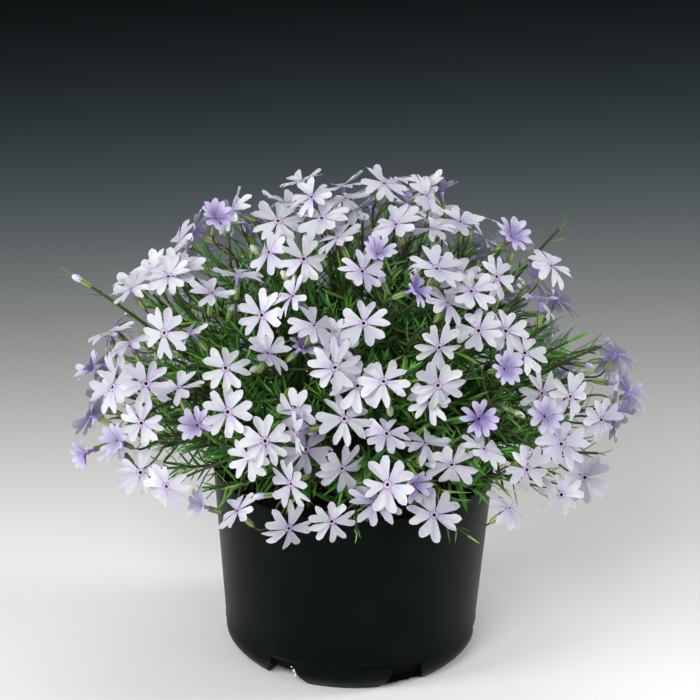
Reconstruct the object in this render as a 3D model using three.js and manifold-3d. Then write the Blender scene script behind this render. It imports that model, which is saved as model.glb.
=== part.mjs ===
// A moss phlox in full bloom, growing in a plain black nursery pot.
// Millimetres, +Z up. The origin is on the pot's axis, level with the foot that it stands on;
// -Y is the front, where the mound leans lowest over the rim.
import * as THREE from "three";
import { mergeVertices } from "three/addons/utils/BufferGeometryUtils.js";
import Module from "manifold-3d";

const wasm = await Module();
wasm.setup();

// Pot: a thin-walled five-inch nursery pot, 127 across the rim.
const rimRadius = 63.5;
const potHeight = 88.5;
const wall = 1.6;
const wallFootRadius = 57.5;
const ledgeRadius = 56.8;
const ledgeHeight = 13;
const footOuterRadius = 51.3;
const footInnerRadius = 49;
const floorUnderside = 3;
const floorThickness = 2;
const potSides = 48;
const notchCount = 6;
const firstNotchTurn = -33;
const notchHeight = 11.4;
const notchBottomWidth = 22.5;
const notchTopWidth = 13;

// Soil: it fills the pot to a finger below the rim, and the plant's crown stands in a plain hole.
const soilTop = 77;
const soilBump = 1.3;
const soilSides = 22;
const crownRadius = 8;
const crownBottom = 66;

// Plant: a low dome of blooms round a dense green heart, wider than the pot on every side.
const moundCentre = new THREE.Vector3(0.8, -2.2, 92);
const moundReach = new THREE.Vector3(120, 86, 126);
const frontLift = 8;
const rightLift = 20;
const leftLift = 11;
const leftShoulder = 26;
const heart = new THREE.Vector3(0, 0, 100);
const coreReach = new THREE.Vector3(62, 39, 64);
const coreBottom = 91.5;
const bloomCount = 179;
const bloomScatter = 0.075;
const bloomLean = 0.62;
const bloomSink = 5;
const evenTurn = 0.07;
const sunnyTurn = 0.34;
const crownCrowding = 1.1;
const sprayCount = 44;
const stubEnd = 0.66;
const forkAt = 0.8;
const budAttempts = 1;
const tuftCount = 7;
const tuftEnd = 0.88;
const skirtTuftCount = 7;
const coreSpike = 8.5;

// The tips of the leafy shoots that stand out of the mound: left, right, over the rim and behind.
const shootTips = [
  [-127, 2, 176],
  [109, -12, 152],
  [107, -48, 116],
  [90, 18, 196],
  [2, -93, 96],
  [50, -84, 92],
  [-96, 56, 130],
  [34, 88, 140],
];

// Bloom: five narrow wedge petals, each with a deep notch, on a slim tube and a thin stalk.
const bloomRadius = 11.7;
const gapReach = 0.25;
const notchReach = 0.7;
const lobeTurn = 18.5;
const tubeDepth = 2.2;
const tubeLength = 9.5;
const tubeRadius = 0.75;
const stalkRadius = 0.7;
const stalkRoot = 0.5;
const peduncleRadius = 1.3;
const stubRadius = 1.5;

// Leaf: a stiff needle, broadest where it leaves the stem.
const leafLength = 15;
const leafRoot = 1.15;

// Pieces keep clear of each other by the gap, and are seated end to end at the seat gap.
const gap = 0.3;
const seatGap = 0.32;
const up = new THREE.Vector3(0, 0, 1);
const radians = THREE.MathUtils.degToRad;

// One seeded stream of random numbers, so that the plant grows the same way every time.
let seed = 11;
function random(low = 0, high = 1) {
  seed = (seed * 16807) % 2147483647;
  return low + ((high - low) * seed) / 2147483647;
}

function randomVector(size) {
  return new THREE.Vector3(random(-size, size), random(-size, size), random(-size, size));
}

// ---- Solids ----

function solidOf(geometry) {
  const shape = geometry.clone();
  shape.deleteAttribute("normal");
  shape.deleteAttribute("uv");
  const merged = mergeVertices(shape, 1e-3);
  return new wasm.Manifold(
    new wasm.Mesh({
      numProp: 3,
      vertProperties: merged.attributes.position.array,
      triVerts: new Uint32Array(merged.index.array),
    }),
  );
}

function solidFrom(points, faces) {
  const geometry = new THREE.BufferGeometry().setFromPoints(points);
  geometry.setIndex(faces.flat());
  return solidOf(geometry);
}

function join(solids) {
  return solids.reduce((whole, solid) => whole.add(solid));
}

function meshOf(name, solid, material) {
  const { vertProperties, triVerts } = solid.getMesh();
  const geometry = new THREE.BufferGeometry();
  geometry.setAttribute("position", new THREE.BufferAttribute(vertProperties, 3));
  geometry.setIndex(new THREE.BufferAttribute(triVerts, 1));
  geometry.computeVertexNormals();
  const mesh = new THREE.Mesh(geometry, material);
  mesh.name = name;
  return mesh;
}

// A solid with its box, for quick tests of what lies near it.
function placed(solid) {
  return { solid, box: solid.boundingBox() };
}

function boxesApart(a, b) {
  return [0, 1, 2].some((i) => a.min[i] - gap > b.max[i] || b.min[i] - gap > a.max[i]);
}

function isOneBody(pieces) {
  return join(pieces.map((piece) => piece.solid)).decompose().length === 1;
}

function isClear(piece, others) {
  return others.every(
    (other) => boxesApart(piece.box, other.box) || piece.solid.minGap(other.solid, gap) >= gap,
  );
}

// A unit vector square to a direction, level unless the direction is close to upright.
function sideOf(direction) {
  const side = new THREE.Vector3().crossVectors(direction, up);
  if (side.length() < 0.3) side.crossVectors(direction, new THREE.Vector3(0, 1, 0));
  return side.normalize();
}

// The points of a ring round a centre, square to a direction and counted from across it.
function ring(centre, direction, across, radius, sides) {
  const along = new THREE.Vector3().crossVectors(direction, across);
  return Array.from({ length: sides }, (_, i) => {
    const turn = (2 * Math.PI * i) / sides;
    return centre
      .clone()
      .addScaledVector(across, radius * Math.cos(turn))
      .addScaledVector(along, radius * Math.sin(turn));
  });
}

// Faces between two rings of points of equal number; either ring may be a single point.
function bridge(lower, upper) {
  const sides = Math.max(lower.length, upper.length);
  const faces = [];
  for (let i = 0; i < sides; i += 1) {
    const next = (i + 1) % sides;
    if (lower.length > 1) faces.push([lower[i], lower[next], upper[upper.length > 1 ? next : 0]]);
    if (upper.length > 1) faces.push([lower[lower.length > 1 ? i : 0], upper[next], upper[i]]);
  }
  return faces;
}

function cap(indices) {
  return indices.slice(2).map((_, i) => [indices[0], indices[i + 1], indices[i + 2]]);
}

// Rings through stations, each a centre and a radius, each ring square to the line there. They
// are laid from the last station back, so that the stem doesn't twist; radius 0 is a point.
function stationRings(stations, side, sides) {
  const centres = stations.map((station) => station.centre);
  const rings = [];
  let across = side;
  for (let i = stations.length - 1; i >= 0; i -= 1) {
    const ahead = centres[Math.min(i + 1, centres.length - 1)];
    const direction = ahead.clone().sub(centres[Math.max(i - 1, 0)]).normalize();
    across = across.clone().projectOnPlane(direction).normalize();
    const { centre, radius } = stations[i];
    rings.unshift(radius > 0 ? ring(centre, direction, across, radius, sides) : [centre]);
  }
  return rings;
}

// A closed stem or bud lofted through its stations.
function loft(stations, sides) {
  const whole = stations.at(-1).centre.clone().sub(stations[0].centre).normalize();
  const points = [];
  const loops = stationRings(stations, sideOf(whole), sides).map((loop) =>
    loop.map((point) => points.push(point) - 1),
  );
  const faces = loops.slice(1).flatMap((upper, i) => bridge(loops[i], upper));
  faces.push(...cap([...loops[0]].reverse()), ...cap(loops.at(-1)));
  return solidFrom(points, faces);
}

// ---- Pot and soil ----

function lathe(outline, sides) {
  const geometry = new THREE.LatheGeometry(
    outline.map(([radius, height]) => new THREE.Vector2(radius, height)),
    sides,
  );
  return geometry.rotateX(Math.PI / 2);
}

// The inner face of the pot's wall, which the soil follows.
function innerRadiusAt(height) {
  const climb = (height - ledgeHeight) / (potHeight - ledgeHeight);
  return wallFootRadius - wall + (rimRadius - wallFootRadius) * climb;
}

function makePot() {
  const floorTop = floorUnderside + floorThickness;
  const outline = [
    [0, floorUnderside],
    [footInnerRadius - 2.5, floorUnderside],
    [footInnerRadius, 0],
    [footOuterRadius, 0],
    [(footOuterRadius + ledgeRadius) / 2 + 1.1, ledgeHeight / 2 - 0.5],
    [ledgeRadius, ledgeHeight],
    [wallFootRadius, ledgeHeight + 0.4],
    [rimRadius, potHeight - 0.6],
    [rimRadius - 0.4, potHeight],
    [innerRadiusAt(potHeight), potHeight],
    [innerRadiusAt(ledgeHeight), ledgeHeight],
    [innerRadiusAt(ledgeHeight) - 3.4, floorTop],
    [0, floorTop],
  ];
  // Each drain notch is a trapezoid let through the foot, from the ground to above the floor.
  const profile = new THREE.Shape([
    new THREE.Vector2(-notchBottomWidth / 2, -1),
    new THREE.Vector2(notchBottomWidth / 2, -1),
    new THREE.Vector2(notchTopWidth / 2, notchHeight),
    new THREE.Vector2(-notchTopWidth / 2, notchHeight),
  ]);
  const notch = new THREE.ExtrudeGeometry(profile, { depth: 16, bevelEnabled: false });
  notch.rotateX(Math.PI / 2).translate(0, 1 - footInnerRadius + 2, 0);
  const notches = Array.from({ length: notchCount }, (_, i) =>
    solidOf(notch.clone().rotateZ(radians(firstNotchTurn + (360 / notchCount) * i))),
  );
  return solidOf(lathe(outline, potSides)).subtract(join(notches));
}

function makeSoil() {
  const holeRadius = crownRadius + gap + 0.1;
  const wallClearance = 0.5;
  const bottom = floorUnderside + floorThickness + gap;
  const outline = [
    [0, bottom],
    [innerRadiusAt(ledgeHeight) - 3.4 - wallClearance, bottom],
    [innerRadiusAt(ledgeHeight) - wallClearance, ledgeHeight],
    [innerRadiusAt(soilTop) - wallClearance, soilTop],
    [44, soilTop],
    [25, soilTop],
    [holeRadius, soilTop],
    [holeRadius, crownBottom - gap],
    [0, crownBottom - gap],
  ];
  const geometry = lathe(outline, soilSides);
  const position = geometry.attributes.position;
  for (let i = 0; i < position.count; i += 1) {
    const x = position.getX(i);
    const y = position.getY(i);
    const waves = Math.sin(0.21 * x + 1) * Math.cos(0.17 * y) + 0.6 * Math.sin(0.35 * y + 0.3 * x);
    if (position.getZ(i) > soilTop - 0.5) position.setZ(i, soilTop + soilBump * waves);
  }
  return solidOf(geometry);
}

// ---- Blooms ----

// Twenty points round a bloom, four to a petal: a gap, a lobe, the notch and the other lobe.
function petalOutline(radius, cup) {
  return Array.from({ length: 5 }, (_, petal) => petal * 72).flatMap((turn) => [
    { turn: turn - 36, reach: gapReach * radius, lift: -0.06 * radius },
    { turn: turn - lobeTurn, reach: radius, lift: cup * radius },
    { turn, reach: notchReach * radius, lift: 0.5 * cup * radius },
    { turn: turn + lobeTurn, reach: radius, lift: cup * radius },
  ]);
}

// One bloom as a closed body: petals fanned from the eye and drawn in below to a three-sided
// throat, tube and stalk. The stalk's stations run up from its foot to the calyx.
function makeBloom({ eye, facing, side, radius, cup }, stalk) {
  const across = side.clone().projectOnPlane(facing).normalize();
  const along = new THREE.Vector3().crossVectors(facing, across);
  const points = [eye];
  const outline = petalOutline(radius, cup);
  for (const { turn, reach, lift } of outline) {
    const point = eye.clone().addScaledVector(facing, lift);
    point.addScaledVector(across, reach * Math.cos(radians(turn)));
    points.push(point.addScaledVector(along, reach * Math.sin(radians(turn))));
  }
  const calyx = { centre: eye.clone().addScaledVector(facing, -tubeLength), radius: stalkRadius };
  const throatAt = { centre: eye.clone().addScaledVector(facing, -tubeDepth), radius: tubeRadius };
  const rings = stationRings([...stalk, calyx, throatAt], across, 3);
  const loops = rings.map((loop) => loop.map((point) => points.push(point) - 1));
  const faces = cap([...loops[0]].reverse());
  loops.slice(1).forEach((upper, i) => faces.push(...bridge(loops[i], upper)));
  const throat = loops.at(-1);
  const nearest = (i) => Math.round((outline[i].turn + 360) / 120) % 3;
  outline.forEach((_, i) => {
    const next = (i + 1) % outline.length;
    faces.push([0, i + 1, next + 1], [next + 1, i + 1, throat[nearest(i)]]);
    if (nearest(i) !== nearest(next)) {
      faces.push([throat[nearest(i)], throat[nearest(next)], next + 1]);
    }
  });
  return placed(solidFrom(points, faces));
}

// A closed bud: a slim spindle that narrows into its stalk.
function makeBud(tip, foot) {
  const line = tip.clone().sub(foot).normalize();
  const stations = [
    { centre: foot, radius: stalkRoot },
    { centre: tip.clone().addScaledVector(line, -8), radius: stalkRadius },
    { centre: tip.clone().addScaledVector(line, -3.6), radius: 1.5 },
    { centre: tip, radius: 0 },
  ];
  return placed(loft(stations, 3));
}

// Directions spread over a dome by the golden angle, from the top down, with some jitter. They
// crowd to the top, to the front, which is the sunny side, and a little to the back, where the
// mound isn't so broad.
function domeDirections(count, lowest, jitter) {
  const goldenAngle = Math.PI * (3 - Math.sqrt(5));
  return Array.from({ length: count }, (_, i) => {
    const height = 1 - (1 - lowest) * ((i + 0.5) / count) ** crownCrowding;
    const level = Math.sqrt(1 - height * height);
    const even = i * goldenAngle;
    const turn = even + evenTurn * Math.sin(2 * even) - sunnyTurn * level * Math.cos(even);
    const direction = new THREE.Vector3(level * Math.cos(turn), level * Math.sin(turn), height);
    return direction.add(randomVector(jitter)).normalize();
  });
}

// A point of the mound's outer face. The skirt lifts over the rim at the front and the back, and
// most of all on the right, where the plant leans up and away from the pot. On the left the mound
// has a broad shoulder.
function moundPoint(direction) {
  const lobes = 1 + 0.035 * Math.sin(5 * Math.atan2(direction.y, direction.x) + 3 * direction.z);
  const point = direction.clone().multiplyScalar(lobes).multiply(moundReach).add(moundCentre);
  const sideLift = direction.x > 0 ? rightLift : leftLift;
  const lift = frontLift * direction.y ** 2 + sideLift * direction.x ** 2;
  point.z += lift * (1 - Math.max(direction.z, 0)) ** 2;
  point.x -= leftShoulder * Math.max(-direction.x, 0) * Math.max(direction.z, 0) ** 2;
  return point;
}

function moundNormal(direction) {
  return direction.clone().divide(moundReach).normalize();
}

// A point part of the way from the heart to a point outside.
function outFromHeart(point, part) {
  return heart.clone().lerp(point, part);
}

// The sprays: each bloom joins the nearest of the spray sites, and all the blooms of a site
// branch from one stalk.
function planSprays() {
  const sites = domeDirections(sprayCount, -0.02, 0).map((direction) => ({ direction, blooms: [] }));
  for (const direction of domeDirections(bloomCount, -0.06, bloomScatter)) {
    const point = moundPoint(direction);
    const distance = (site) => moundPoint(site.direction).distanceTo(point);
    const nearest = sites.reduce((best, site) => (distance(site) < distance(best) ? site : best));
    nearest.blooms.push({ direction, point });
  }
  return sites.filter((site) => site.blooms.length > 0);
}

// Tries small changes of depth and spin until a bloom clears everything set before it.
function settleBloom(bloom, stalk, others, heads, pieces) {
  const young = random() < 0.15;
  const lean = randomVector(bloomLean);
  const normal = moundNormal(bloom.direction);
  const facing = normal.clone().multiplyScalar(0.8).addScaledVector(up, 0.22).add(lean).normalize();
  const radius = bloomRadius * (young ? random(0.68, 0.8) : random(0.9, 1.08));
  const cup = young ? random(0.45, 0.7) : random(-0.08, 0.16);
  const spin = random(0, 72);
  const sink = random(-bloomSink, bloomSink);
  for (const depth of [0, -2.5, 2.5, -5, 5, -7.5, 7, -10, 9, -12.5]) {
    for (const turn of [0, 24, 48]) {
      const eye = bloom.point.clone().addScaledVector(normal, depth - sink);
      const side = sideOf(facing).applyAxisAngle(facing, radians(spin + turn));
      const shape = { eye, facing, side, radius, cup };
      const nape = eye.clone().addScaledVector(facing, -tubeLength - 2);
      const head = makeBloom(shape, [{ centre: nape, radius: stalkRadius }]);
      if (!isClear(head, heads)) continue;
      const whole = makeBloom(shape, stalk);
      if (isClear(whole, others) && isOneBody([...pieces, whole])) return { head, whole };
    }
  }
  return null;
}

// A spray: one bloom ends the main stalk, and the others branch from it one below the other.
function growSpray(site, obstacles) {
  const middle = site.blooms
    .reduce((sum, bloom) => sum.add(bloom.point), new THREE.Vector3())
    .divideScalar(site.blooms.length);
  const axis = middle.clone().sub(heart).normalize();
  const stub = outFromHeart(middle, stubEnd);
  const foot = { centre: stub.clone().addScaledVector(axis, seatGap), radius: peduncleRadius };
  const knee = { centre: outFromHeart(middle, forkAt), radius: peduncleRadius };
  const spread = (bloom) => bloom.point.distanceTo(middle);
  const order = [...site.blooms].sort((a, b) => spread(a) - spread(b));
  const step = knee.centre.distanceTo(foot.centre) / (order.length + 1);
  const pieces = [];
  const heads = [];
  for (const bloom of order) {
    const fork = knee.centre.clone().addScaledVector(axis, -step * heads.length);
    const stalk = heads.length > 0 ? [{ centre: fork, radius: stalkRoot }] : [foot, knee];
    const settled = settleBloom(bloom, stalk, obstacles, [...obstacles, ...heads], pieces);
    if (!settled) continue;
    heads.push(settled.head);
    pieces.push(settled.whole);
  }
  if (pieces.length === 0) return null;
  // A bud stands among the blooms where there is room.
  for (let attempt = 0; attempt < budAttempts; attempt += 1) {
    const tip = outFromHeart(middle, random(0.85, 0.96)).add(randomVector(13));
    const bud = makeBud(tip, knee.centre);
    if (!isClear(bud, [...obstacles, ...heads]) || !isOneBody([...pieces, bud])) continue;
    pieces.push(bud);
    break;
  }
  return { pieces, stub, axis, solid: join(pieces.map((piece) => piece.solid)) };
}

// ---- Leaves ----

// A three-sided leafy stem as one closed body. At each whorl a short band of its six facets is
// drawn out into needles, one long and low, one short and steep, on each side of the stem.
function makeLeafyStem({ from, to, radius, whorls, length, turn, pointed }) {
  const axis = to.clone().sub(from).normalize();
  const across = sideOf(axis).applyAxisAngle(axis, radians(turn));
  const along = new THREE.Vector3().crossVectors(axis, across);
  const points = [];
  const loopAt = (centre) => ring(centre, axis, across, radius, 3).map((p) => points.push(p) - 1);
  const spike = (facet, forward, azimuth, reach) => {
    const tip = new THREE.Vector3();
    facet.forEach((index) => tip.addScaledVector(points[index], 1 / 3));
    tip.addScaledVector(axis, reach * Math.cos(radians(forward)));
    tip.addScaledVector(across, reach * Math.sin(radians(forward)) * Math.cos(radians(azimuth)));
    tip.addScaledVector(along, reach * Math.sin(radians(forward)) * Math.sin(radians(azimuth)));
    const [a, b, c] = facet;
    const top = points.push(tip) - 1;
    return [[a, b, top], [b, c, top], [c, a, top]];
  };
  let below = loopAt(from);
  const faces = cap([...below].reverse());
  for (const { part, lean } of whorls) {
    const centre = from.clone().lerp(to, part);
    const lower = loopAt(centre.clone().addScaledVector(axis, -leafRoot));
    const upper = loopAt(centre.clone().addScaledVector(axis, leafRoot));
    faces.push(...bridge(below, lower));
    for (let i = 0; i < 3; i += 1) {
      const next = (i + 1) % 3;
      const middle = 60 + 120 * i;
      const low = [lower[i], lower[next], upper[next]];
      const high = [lower[i], upper[next], upper[i]];
      const offset = random(18, 32);
      faces.push(...spike(low, lean + random(2, 14), middle + offset, length * random(0.85, 1.15)));
      faces.push(...spike(high, lean - random(6, 18), middle - offset, length * random(0.7, 1)));
    }
    below = upper;
  }
  const end = pointed ? [points.push(to) - 1] : loopAt(to);
  faces.push(...bridge(below, end), ...cap(end));
  return placed(solidFrom(points, faces));
}

// The leafy stem that finds room, turned or with shorter needles where they would touch a bloom.
function settleLeafyStem(stem, others) {
  const firstTurn = random(0, 120);
  for (const length of [1, 0.85, 0.7, 0.55].map((part) => part * leafLength)) {
    for (const turn of [0, 15, 30, 45, 60, 75, 90, 105]) {
      const piece = makeLeafyStem({ ...stem, length, turn: firstTurn + turn });
      if (isClear(piece, others)) return piece;
    }
  }
  return null;
}

// A leafy shoot that reaches out past the blooms, seated end to end on a stub of the foliage.
function growShoot(tip, others) {
  const axis = tip.clone().sub(heart).normalize();
  const stub = outFromHeart(tip, stubEnd);
  const from = stub.clone().addScaledVector(axis, seatGap);
  const whorls = [
    { part: 0.3, lean: 62 },
    { part: 0.55, lean: 52 },
    { part: 0.75, lean: 40 },
  ];
  const stem = { from, to: tip, radius: peduncleRadius, whorls, pointed: true };
  const shoot = settleLeafyStem(stem, others);
  return shoot && { pieces: [shoot], stub, axis, solid: shoot.solid };
}

// The green heart: a lumpy core, flat below, on the crown that stands in the soil.
function makeCore() {
  const geometry = new THREE.SphereGeometry(1, 14, 8).rotateX(Math.PI / 2);
  const position = geometry.attributes.position;
  const point = new THREE.Vector3();
  for (let i = 0; i < position.count; i += 1) {
    point.fromBufferAttribute(position, i);
    point.multiplyScalar(1 + 0.05 * Math.sin(7 * point.x + 5 * point.y + 6 * point.z));
    point.multiply(coreReach).add(heart);
    position.setXYZ(i, point.x, point.y, Math.max(point.z, coreBottom));
  }
  const crown = [
    { centre: new THREE.Vector3(0, 0, crownBottom), radius: crownRadius },
    { centre: new THREE.Vector3(0, 0, soilTop + 4), radius: crownRadius },
    { centre: new THREE.Vector3(0, 0, coreBottom + 4), radius: 3.5 * crownRadius },
  ];
  return join([solidOf(geometry), loft(crown, 8)]);
}

// Draws every facet of the core's upper side out into a blunt tuft that points up and outwards.
function spiked(solid) {
  const { vertProperties, triVerts } = solid.getMesh();
  const points = [];
  for (let i = 0; i < vertProperties.length; i += 3) {
    points.push(new THREE.Vector3().fromArray(vertProperties, i));
  }
  const faces = [];
  for (let i = 0; i < triVerts.length; i += 3) {
    const [a, b, c] = triVerts.slice(i, i + 3);
    const middle = new THREE.Vector3().add(points[a]).add(points[b]).add(points[c]).divideScalar(3);
    const normal = new THREE.Triangle(points[a], points[b], points[c]).getNormal(new THREE.Vector3());
    if (middle.z < coreBottom + 3 || normal.z < -0.2) {
      faces.push([a, b, c]);
      continue;
    }
    middle.addScaledVector(normal, coreSpike * random(0.7, 1.1)).addScaledVector(up, 2);
    const tip = points.push(middle) - 1;
    faces.push([a, b, tip], [b, c, tip], [c, a, tip]);
  }
  return solidFrom(points, faces);
}

// The foliage: the core with a stub for each spray and shoot, every second one of them leafy, and
// leafy tufts between them.
function growFoliage(core, carried, tufts, others) {
  const solids = [core];
  carried.forEach(({ stub }, i) => {
    const from = outFromHeart(stub, 0.54);
    const whorls = i % 2 ? [] : [{ part: 0.87, lean: 62 }];
    const bare = { from, to: stub, radius: stubRadius, whorls: [] };
    const stem = settleLeafyStem({ ...bare, whorls }, others) ?? settleLeafyStem(bare, others);
    solids.push(stem.solid);
  });
  for (const tuft of tufts) {
    const from = outFromHeart(tuft, 0.36);
    const to = outFromHeart(tuft, tuftEnd);
    const whorls = [{ part: 0.71, lean: 62 }, { part: 0.89, lean: 45 }];
    const stem = settleLeafyStem({ from, to, radius: stubRadius, whorls, pointed: true }, others);
    if (stem) solids.push(stem.solid);
  }
  return join(solids);
}

// ---- The whole plant ----

const materials = {
  pot: new THREE.MeshStandardMaterial({ color: 0x17191a, roughness: 0.42, metalness: 0 }),
  soil: new THREE.MeshStandardMaterial({ color: 0x2e2119, roughness: 0.95, metalness: 0 }),
  leaf: new THREE.MeshStandardMaterial({ color: 0x3f7a24, roughness: 0.55, metalness: 0 }),
  petal: new THREE.MeshStandardMaterial({ color: 0xdcd8f2, roughness: 0.6, metalness: 0 }),
};

const group = new THREE.Group();
const obstacles = [];

function addNode(name, solid, material) {
  group.add(meshOf(name, solid, material));
}

const pot = makePot();
addNode("pot", pot, materials.pot);
addNode("soil", makeSoil(), materials.soil);
const core = spiked(makeCore());
obstacles.push(placed(pot), placed(core));

const carried = [];
function addGrowth(name, growth, material) {
  carried.push(growth);
  obstacles.push(...growth.pieces);
  addNode(name, growth.solid, material);
}

const numbered = (name, i) => `${name}_${String(i + 1).padStart(2, "0")}`;
shootTips
  .map((tip) => growShoot(new THREE.Vector3(...tip), obstacles))
  .filter((shoot) => shoot !== null)
  .forEach((shoot, i) => addGrowth(numbered("leafy_shoot", i), shoot, materials.leaf));
let sprayNumber = 0;
for (const site of planSprays()) {
  const spray = growSpray(site, obstacles);
  if (!spray) continue;
  addGrowth(numbered("flower_spray", sprayNumber), spray, materials.petal);
  sprayNumber += 1;
}
const skirt = Array.from({ length: skirtTuftCount }, (_, i) => {
  const turn = ((i + 0.5) * 2 * Math.PI) / skirtTuftCount;
  return new THREE.Vector3(Math.cos(turn), Math.sin(turn), random(0, 0.1)).normalize();
});
const tufts = [...domeDirections(tuftCount, 0.1, 0.05), ...skirt].map(moundPoint);
const bloomsAndShoots = obstacles.filter((piece) => piece.solid !== core);
addNode("foliage", growFoliage(core, carried, tufts, bloomsAndShoots), materials.leaf);

export default group;
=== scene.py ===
import math

import bmesh
import bpy
import numpy as np
from mathutils import Matrix, Quaternion, Vector


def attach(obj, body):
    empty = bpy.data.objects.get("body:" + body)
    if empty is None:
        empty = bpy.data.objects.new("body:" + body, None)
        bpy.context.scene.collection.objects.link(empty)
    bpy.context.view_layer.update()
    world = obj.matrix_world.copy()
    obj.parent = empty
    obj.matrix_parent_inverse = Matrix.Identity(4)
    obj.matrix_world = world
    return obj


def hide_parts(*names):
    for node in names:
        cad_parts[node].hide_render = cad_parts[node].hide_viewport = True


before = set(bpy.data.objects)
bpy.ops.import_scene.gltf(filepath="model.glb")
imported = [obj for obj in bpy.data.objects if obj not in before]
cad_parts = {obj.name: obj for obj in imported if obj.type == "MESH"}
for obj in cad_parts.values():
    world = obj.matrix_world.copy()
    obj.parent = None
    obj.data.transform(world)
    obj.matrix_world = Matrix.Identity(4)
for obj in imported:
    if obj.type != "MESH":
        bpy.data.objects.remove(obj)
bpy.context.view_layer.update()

# A moss phlox in full bloom in a plain black nursery pot. Metres, +Z up; -Y is the front.
# The file goes from the ground up: the pot, its potting mix, the leafy stems, the flower stalks,
# the blooms and the buds, and then the floor, the lights and the camera.

# ---- Pot ----
# A thin nursery pot, moulded in one piece from black polypropylene: a rounded foot with six
# drain notches, a narrow ledge above it, and a plain flaring wall with a square-cut rim.

rim_radius = 0.0635
rim_height = 0.0885
wall = 0.0016
wall_foot_radius = 0.0575
ledge_radius = 0.0568
ledge_height = 0.013
foot_outer_radius = 0.0513
foot_inner_radius = 0.049
foot_bulge = 0.0026
floor_underside = 0.003
floor_top = 0.005
pot_sides = 144
pot_crease = 28
notch_count = 6
first_notch_turn = math.radians(-33)
notch_height = 0.0114
cutter_low = -0.001
cutter_radii = (foot_inner_radius - 0.003, foot_inner_radius + 0.013)
notch_half_widths = {cutter_low: 0.01125, notch_height: 0.0065}


class Wire:
    """A socket of a node tree that takes part in sums like a number."""

    def __init__(self, tree, socket):
        self.tree = tree
        self.socket = socket

    def math(self, operation, *values):
        return self.tree.node("ShaderNodeMath", {"operation": operation}, dict(enumerate(values)))

    def __add__(self, other):
        return self.math("ADD", self, other)

    def __sub__(self, other):
        return self.math("SUBTRACT", self, other)

    def __rsub__(self, other):
        return self.math("SUBTRACT", other, self)

    def __mul__(self, other):
        return self.math("MULTIPLY", self, other)

    def __truediv__(self, other):
        return self.math("DIVIDE", self, other)

    def __rtruediv__(self, other):
        return self.math("DIVIDE", other, self)

    def __pow__(self, other):
        return self.math("POWER", self, other)

    def __rpow__(self, other):
        return self.math("POWER", other, self)

    def __gt__(self, other):
        return self.math("GREATER_THAN", self, other)

    def __abs__(self):
        return self.math("ABSOLUTE", self)

    __radd__ = __add__
    __rmul__ = __mul__

    def cosine(self):
        return self.math("COSINE", self)

    def smooth(self, low, high):
        """0 at low and 1 at high, with a soft step between them; low may be the larger."""
        settings = {"interpolation_type": "SMOOTHSTEP"}
        return self.tree.node("ShaderNodeMapRange", settings, {0: self, 1: low, 2: high})

    def output(self, name):
        """Another output of the node that this wire comes from."""
        return Wire(self.tree, self.socket.node.outputs[name])


class Tree:
    """A node tree, of a finish or of a growth, and the one way that nodes are added to it."""

    def __init__(self, tree):
        self.tree = tree

    def node(self, kind, settings=None, inputs=None, output=0):
        made = self.tree.nodes.new(kind)
        for name, value in (settings or {}).items():
            setattr(made, name, value)
        for key, value in (inputs or {}).items():
            for part in value if isinstance(value, list) else [value]:
                if isinstance(part, Wire):
                    self.tree.links.new(part.socket, made.inputs[key])
                else:
                    made.inputs[key].default_value = part
        return Wire(self, made.outputs[output]) if made.outputs else None


class Finish(Tree):
    """A procedural material, whose colour, roughness and relief are plain numbers or wires."""

    def __init__(self, name):
        self.material = bpy.data.materials.new(name)
        self.material.use_nodes = True
        self.material.node_tree.nodes.clear()
        super().__init__(self.material.node_tree)
        self.place = self.node("ShaderNodeTexCoord", output=3)

    def parts(self, vector):
        """The three numbers of a vector, as wires."""
        return [self.node("ShaderNodeSeparateXYZ", {}, {0: vector}, i) for i in range(3)]

    def uv(self, name):
        return self.parts(self.node("ShaderNodeUVMap", {"uv_map": name}))[:2]

    def attribute(self, name):
        return self.node("ShaderNodeAttribute", {"attribute_name": name}, output=2)

    def mix(self, factor, first, second):
        first, second = ((*c, 1.0) if isinstance(c, tuple) else c for c in (first, second))
        settings = {"data_type": "RGBA"}
        return self.node("ShaderNodeMix", settings, {0: factor, 6: first, 7: second}, 2)

    def noise(self, scale, detail=2.0, vector=None):
        inputs = {"Vector": vector or self.place, "Scale": scale, "Detail": detail}
        return self.node("ShaderNodeTexNoise", {}, inputs)

    def surface(self, colour, roughness, relief=None, specular=0.5, tint=(1, 1, 1), thin=0.0):
        """The finished material; a relief is its height, its strength and its depth in metres."""
        sockets = {"Base Color": colour, "Roughness": roughness}
        sockets |= {"Specular IOR Level": specular, "Specular Tint": (*tint, 1)}
        if relief:
            bump = dict(zip(("Height", "Strength", "Distance"), relief))
            sockets["Normal"] = self.node("ShaderNodeBump", {}, bump)
        shader = self.node("ShaderNodeBsdfPrincipled", {}, sockets)
        if thin:
            glow = self.node("ShaderNodeBsdfTranslucent", {}, {"Color": colour})
            shader = self.node("ShaderNodeMixShader", {}, {0: thin, 1: shader, 2: glow})
        self.node("ShaderNodeOutputMaterial", {}, {"Surface": shader})
        return self.material


def smooth_mesh(name, points, faces, crease=35):
    """A smooth-shaded mesh that keeps its creases sharper than the given angle."""
    mesh = bpy.data.meshes.new(name)
    mesh.from_pydata([tuple(point) for point in points], [], [tuple(face) for face in faces])
    mesh.shade_smooth()
    mesh.set_sharp_from_angle(angle=math.radians(crease))
    return mesh


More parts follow.
